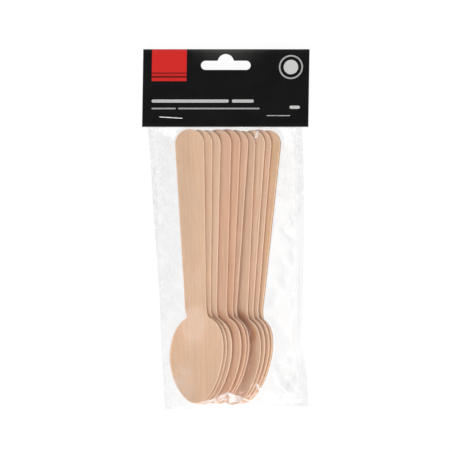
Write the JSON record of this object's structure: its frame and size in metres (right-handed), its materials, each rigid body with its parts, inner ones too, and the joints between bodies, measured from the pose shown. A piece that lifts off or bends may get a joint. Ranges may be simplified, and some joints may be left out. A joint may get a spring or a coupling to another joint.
{
  "type": "wooden cutlery pack",
  "caption": "Pressed wooden spoons fanned in a clear film pouch, closed by a folded header card with a euro hang slot and wire staples.",
  "frame": {"origin": "centre of the pack's footprint, on the surface that it lies on", "axes": "+X to the right as the front is read, +Y from the bowls towards the header card, +Z out of the front"},
  "size_m": [0.0856, 0.1842, 0.0203],
  "materials": {
    "header_card": "black satin print on folded card, with plain red and white fields",
    "clear_film": "clear glossy film",
    "birch": "bare birch veneer, fine long grain",
    "staple_steel": "bright drawn wire"
  },
  "bodies": {
    "root": {"header_card": "header_card", "film_bag": "clear_film", "staple_left": "staple_steel", "staple_right": "staple_steel", "spoon_01": "birch", "spoon_02": "birch", "spoon_03": "birch", "spoon_04": "birch", "spoon_05": "birch", "spoon_06": "birch", "spoon_07": "birch", "spoon_08": "birch", "spoon_09": "birch", "spoon_10": "birch"}
  },
  "joints": []
}
